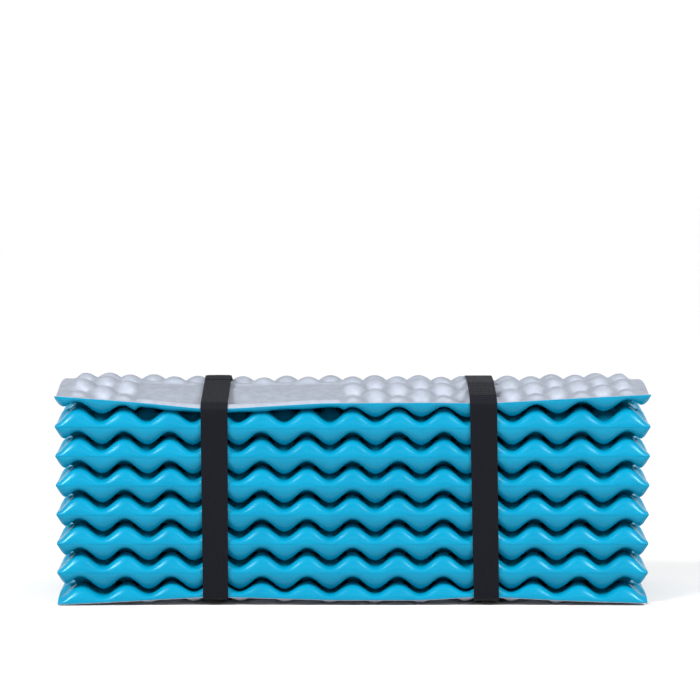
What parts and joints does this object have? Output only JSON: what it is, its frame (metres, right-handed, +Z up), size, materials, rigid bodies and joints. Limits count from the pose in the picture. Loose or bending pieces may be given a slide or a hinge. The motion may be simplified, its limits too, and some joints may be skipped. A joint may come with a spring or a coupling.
{
  "type": "foam sleeping pad",
  "caption": "Egg-crate foam sleeping pad, folded like an accordion into a block and held by two elastic straps.",
  "frame": {"origin": "on the ground, in the middle of the folded stack", "axes": "+X along the pad's width, -Y towards the front folds, +Z up through the stack"},
  "size_m": [0.57, 0.137, 0.2089],
  "materials": {
    "blue_foam": "satin closed-cell foam",
    "silver_film": "metallised film, soft sheen",
    "strap_webbing": "woven elastic, ribbed",
    "strap_thread": "polyester thread"
  },
  "bodies": {
    "panel_14": {"panel_14_foam": "blue_foam", "panel_14_film": "silver_film"},
    "panel_13": {"panel_13_foam": "blue_foam", "panel_13_film": "silver_film", "fold_13_14": "blue_foam"},
    "panel_12": {"panel_12_foam": "blue_foam", "panel_12_film": "silver_film", "fold_12_13": "blue_foam"},
    "panel_11": {"panel_11_foam": "blue_foam", "panel_11_film": "silver_film", "fold_11_12": "blue_foam"},
    "panel_10": {"panel_10_foam": "blue_foam", "panel_10_film": "silver_film", "fold_10_11": "blue_foam"},
    "panel_09": {"panel_09_foam": "blue_foam", "panel_09_film": "silver_film", "fold_09_10": "blue_foam"},
    "panel_08": {"panel_08_foam": "blue_foam", "panel_08_film": "silver_film", "fold_08_09": "blue_foam"},
    "panel_07": {"panel_07_foam": "blue_foam", "panel_07_film": "silver_film", "fold_07_08": "blue_foam"},
    "panel_06": {"panel_06_foam": "blue_foam", "panel_06_film": "silver_film", "fold_06_07": "blue_foam"},
    "panel_05": {"panel_05_foam": "blue_foam", "panel_05_film": "silver_film", "fold_05_06": "blue_foam"},
    "panel_04": {"panel_04_foam": "blue_foam", "panel_04_film": "silver_film", "fold_04_05": "blue_foam"},
    "panel_03": {"panel_03_foam": "blue_foam", "panel_03_film": "silver_film", "fold_03_04": "blue_foam"},
    "panel_02": {"panel_02_foam": "blue_foam", "panel_02_film": "silver_film", "fold_02_03": "blue_foam"},
    "panel_01": {"panel_01_foam": "blue_foam", "panel_01_film": "silver_film", "fold_01_02": "blue_foam"},
    "strap_left": {"strap_left": "strap_webbing", "strap_left_stitching": "strap_thread"},
    "strap_right": {"strap_right": "strap_webbing", "strap_right_stitching": "strap_thread"}
  },
  "joints": [
    {"name": "fold_13_14_hinge", "type": "hinge", "parent": "panel_14", "child": "panel_13", "pos_m": [0, 0.06575, 0.0165], "axis": [-1, 0, 0], "range_deg": [0, 180], "deforming": ["strap_left", "strap_left_stitching", "strap_right", "strap_right_stitching"]},
    {"name": "fold_12_13_hinge", "type": "hinge", "parent": "panel_13", "child": "panel_12", "pos_m": [0, -0.06575, 0.0315], "axis": [1, 0, 0], "range_deg": [0, 180]},
    {"name": "fold_11_12_hinge", "type": "hinge", "parent": "panel_12", "child": "panel_11", "pos_m": [0, 0.06575, 0.0456], "axis": [-1, 0, 0], "range_deg": [0, 180]},
    {"name": "fold_10_11_hinge", "type": "hinge", "parent": "panel_11", "child": "panel_10", "pos_m": [0, -0.06575, 0.0597], "axis": [1, 0, 0], "range_deg": [0, 180]},
    {"name": "fold_09_10_hinge", "type": "hinge", "parent": "panel_10", "child": "panel_09", "pos_m": [0, 0.06575, 0.0738], "axis": [-1, 0, 0], "range_deg": [0, 180]},
    {"name": "fold_08_09_hinge", "type": "hinge", "parent": "panel_09", "child": "panel_08", "pos_m": [0, -0.06575, 0.0879], "axis": [1, 0, 0], "range_deg": [0, 180]},
    {"name": "fold_07_08_hinge", "type": "hinge", "parent": "panel_08", "child": "panel_07", "pos_m": [0, 0.06575, 0.102], "axis": [-1, 0, 0], "range_deg": [0, 180]},
    {"name": "fold_06_07_hinge", "type": "hinge", "parent": "panel_07", "child": "panel_06", "pos_m": [0, -0.06575, 0.1161], "axis": [1, 0, 0], "range_deg": [0, 180]},
    {"name": "fold_05_06_hinge", "type": "hinge", "parent": "panel_06", "child": "panel_05", "pos_m": [0, 0.06575, 0.1302], "axis": [-1, 0, 0], "range_deg": [0, 180]},
    {"name": "fold_04_05_hinge", "type": "hinge", "parent": "panel_05", "child": "panel_04", "pos_m": [0, -0.06575, 0.1443], "axis": [1, 0, 0], "range_deg": [0, 180]},
    {"name": "fold_03_04_hinge", "type": "hinge", "parent": "panel_04", "child": "panel_03", "pos_m": [0, 0.06575, 0.1584], "axis": [-1, 0, 0], "range_deg": [0, 180]},
    {"name": "fold_02_03_hinge", "type": "hinge", "parent": "panel_03", "child": "panel_02", "pos_m": [0, -0.06575, 0.1725], "axis": [1, 0, 0], "range_deg": [0, 180]},
    {"name": "fold_01_02_hinge", "type": "hinge", "parent": "panel_02", "child": "panel_01", "pos_m": [0, 0.06575, 0.18845], "axis": [-1, 0, 0], "range_deg": [0, 180]},
    {"name": "strap_left_slide", "type": "slide", "parent": "panel_14", "child": "strap_left", "axis": [-1, 0, 0], "range_m": [0, 0.19]},
    {"name": "strap_right_slide", "type": "slide", "parent": "panel_14", "child": "strap_right", "axis": [1, 0, 0], "range_m": [0, 0.19]}
  ],
  "couplings": [
    {"joint": "fold_12_13_hinge", "follows": "fold_13_14_hinge", "ratio": 1},
    {"joint": "fold_11_12_hinge", "follows": "fold_13_14_hinge", "ratio": 1},
    {"joint": "fold_10_11_hinge", "follows": "fold_13_14_hinge", "ratio": 1},
    {"joint": "fold_09_10_hinge", "follows": "fold_13_14_hinge", "ratio": 1},
    {"joint": "fold_08_09_hinge", "follows": "fold_13_14_hinge", "ratio": 1},
    {"joint": "fold_07_08_hinge", "follows": "fold_13_14_hinge", "ratio": 1},
    {"joint": "fold_06_07_hinge", "follows": "fold_13_14_hinge", "ratio": 1},
    {"joint": "fold_05_06_hinge", "follows": "fold_13_14_hinge", "ratio": 1},
    {"joint": "fold_04_05_hinge", "follows": "fold_13_14_hinge", "ratio": 1},
    {"joint": "fold_03_04_hinge", "follows": "fold_13_14_hinge", "ratio": 1},
    {"joint": "fold_02_03_hinge", "follows": "fold_13_14_hinge", "ratio": 1},
    {"joint": "fold_01_02_hinge", "follows": "fold_13_14_hinge", "ratio": 1},
    {"joint": "strap_left_slide", "follows": "fold_13_14_hinge", "m_per_rad": 0.060479},
    {"joint": "strap_right_slide", "follows": "fold_13_14_hinge", "m_per_rad": 0.060479}
  ]
}
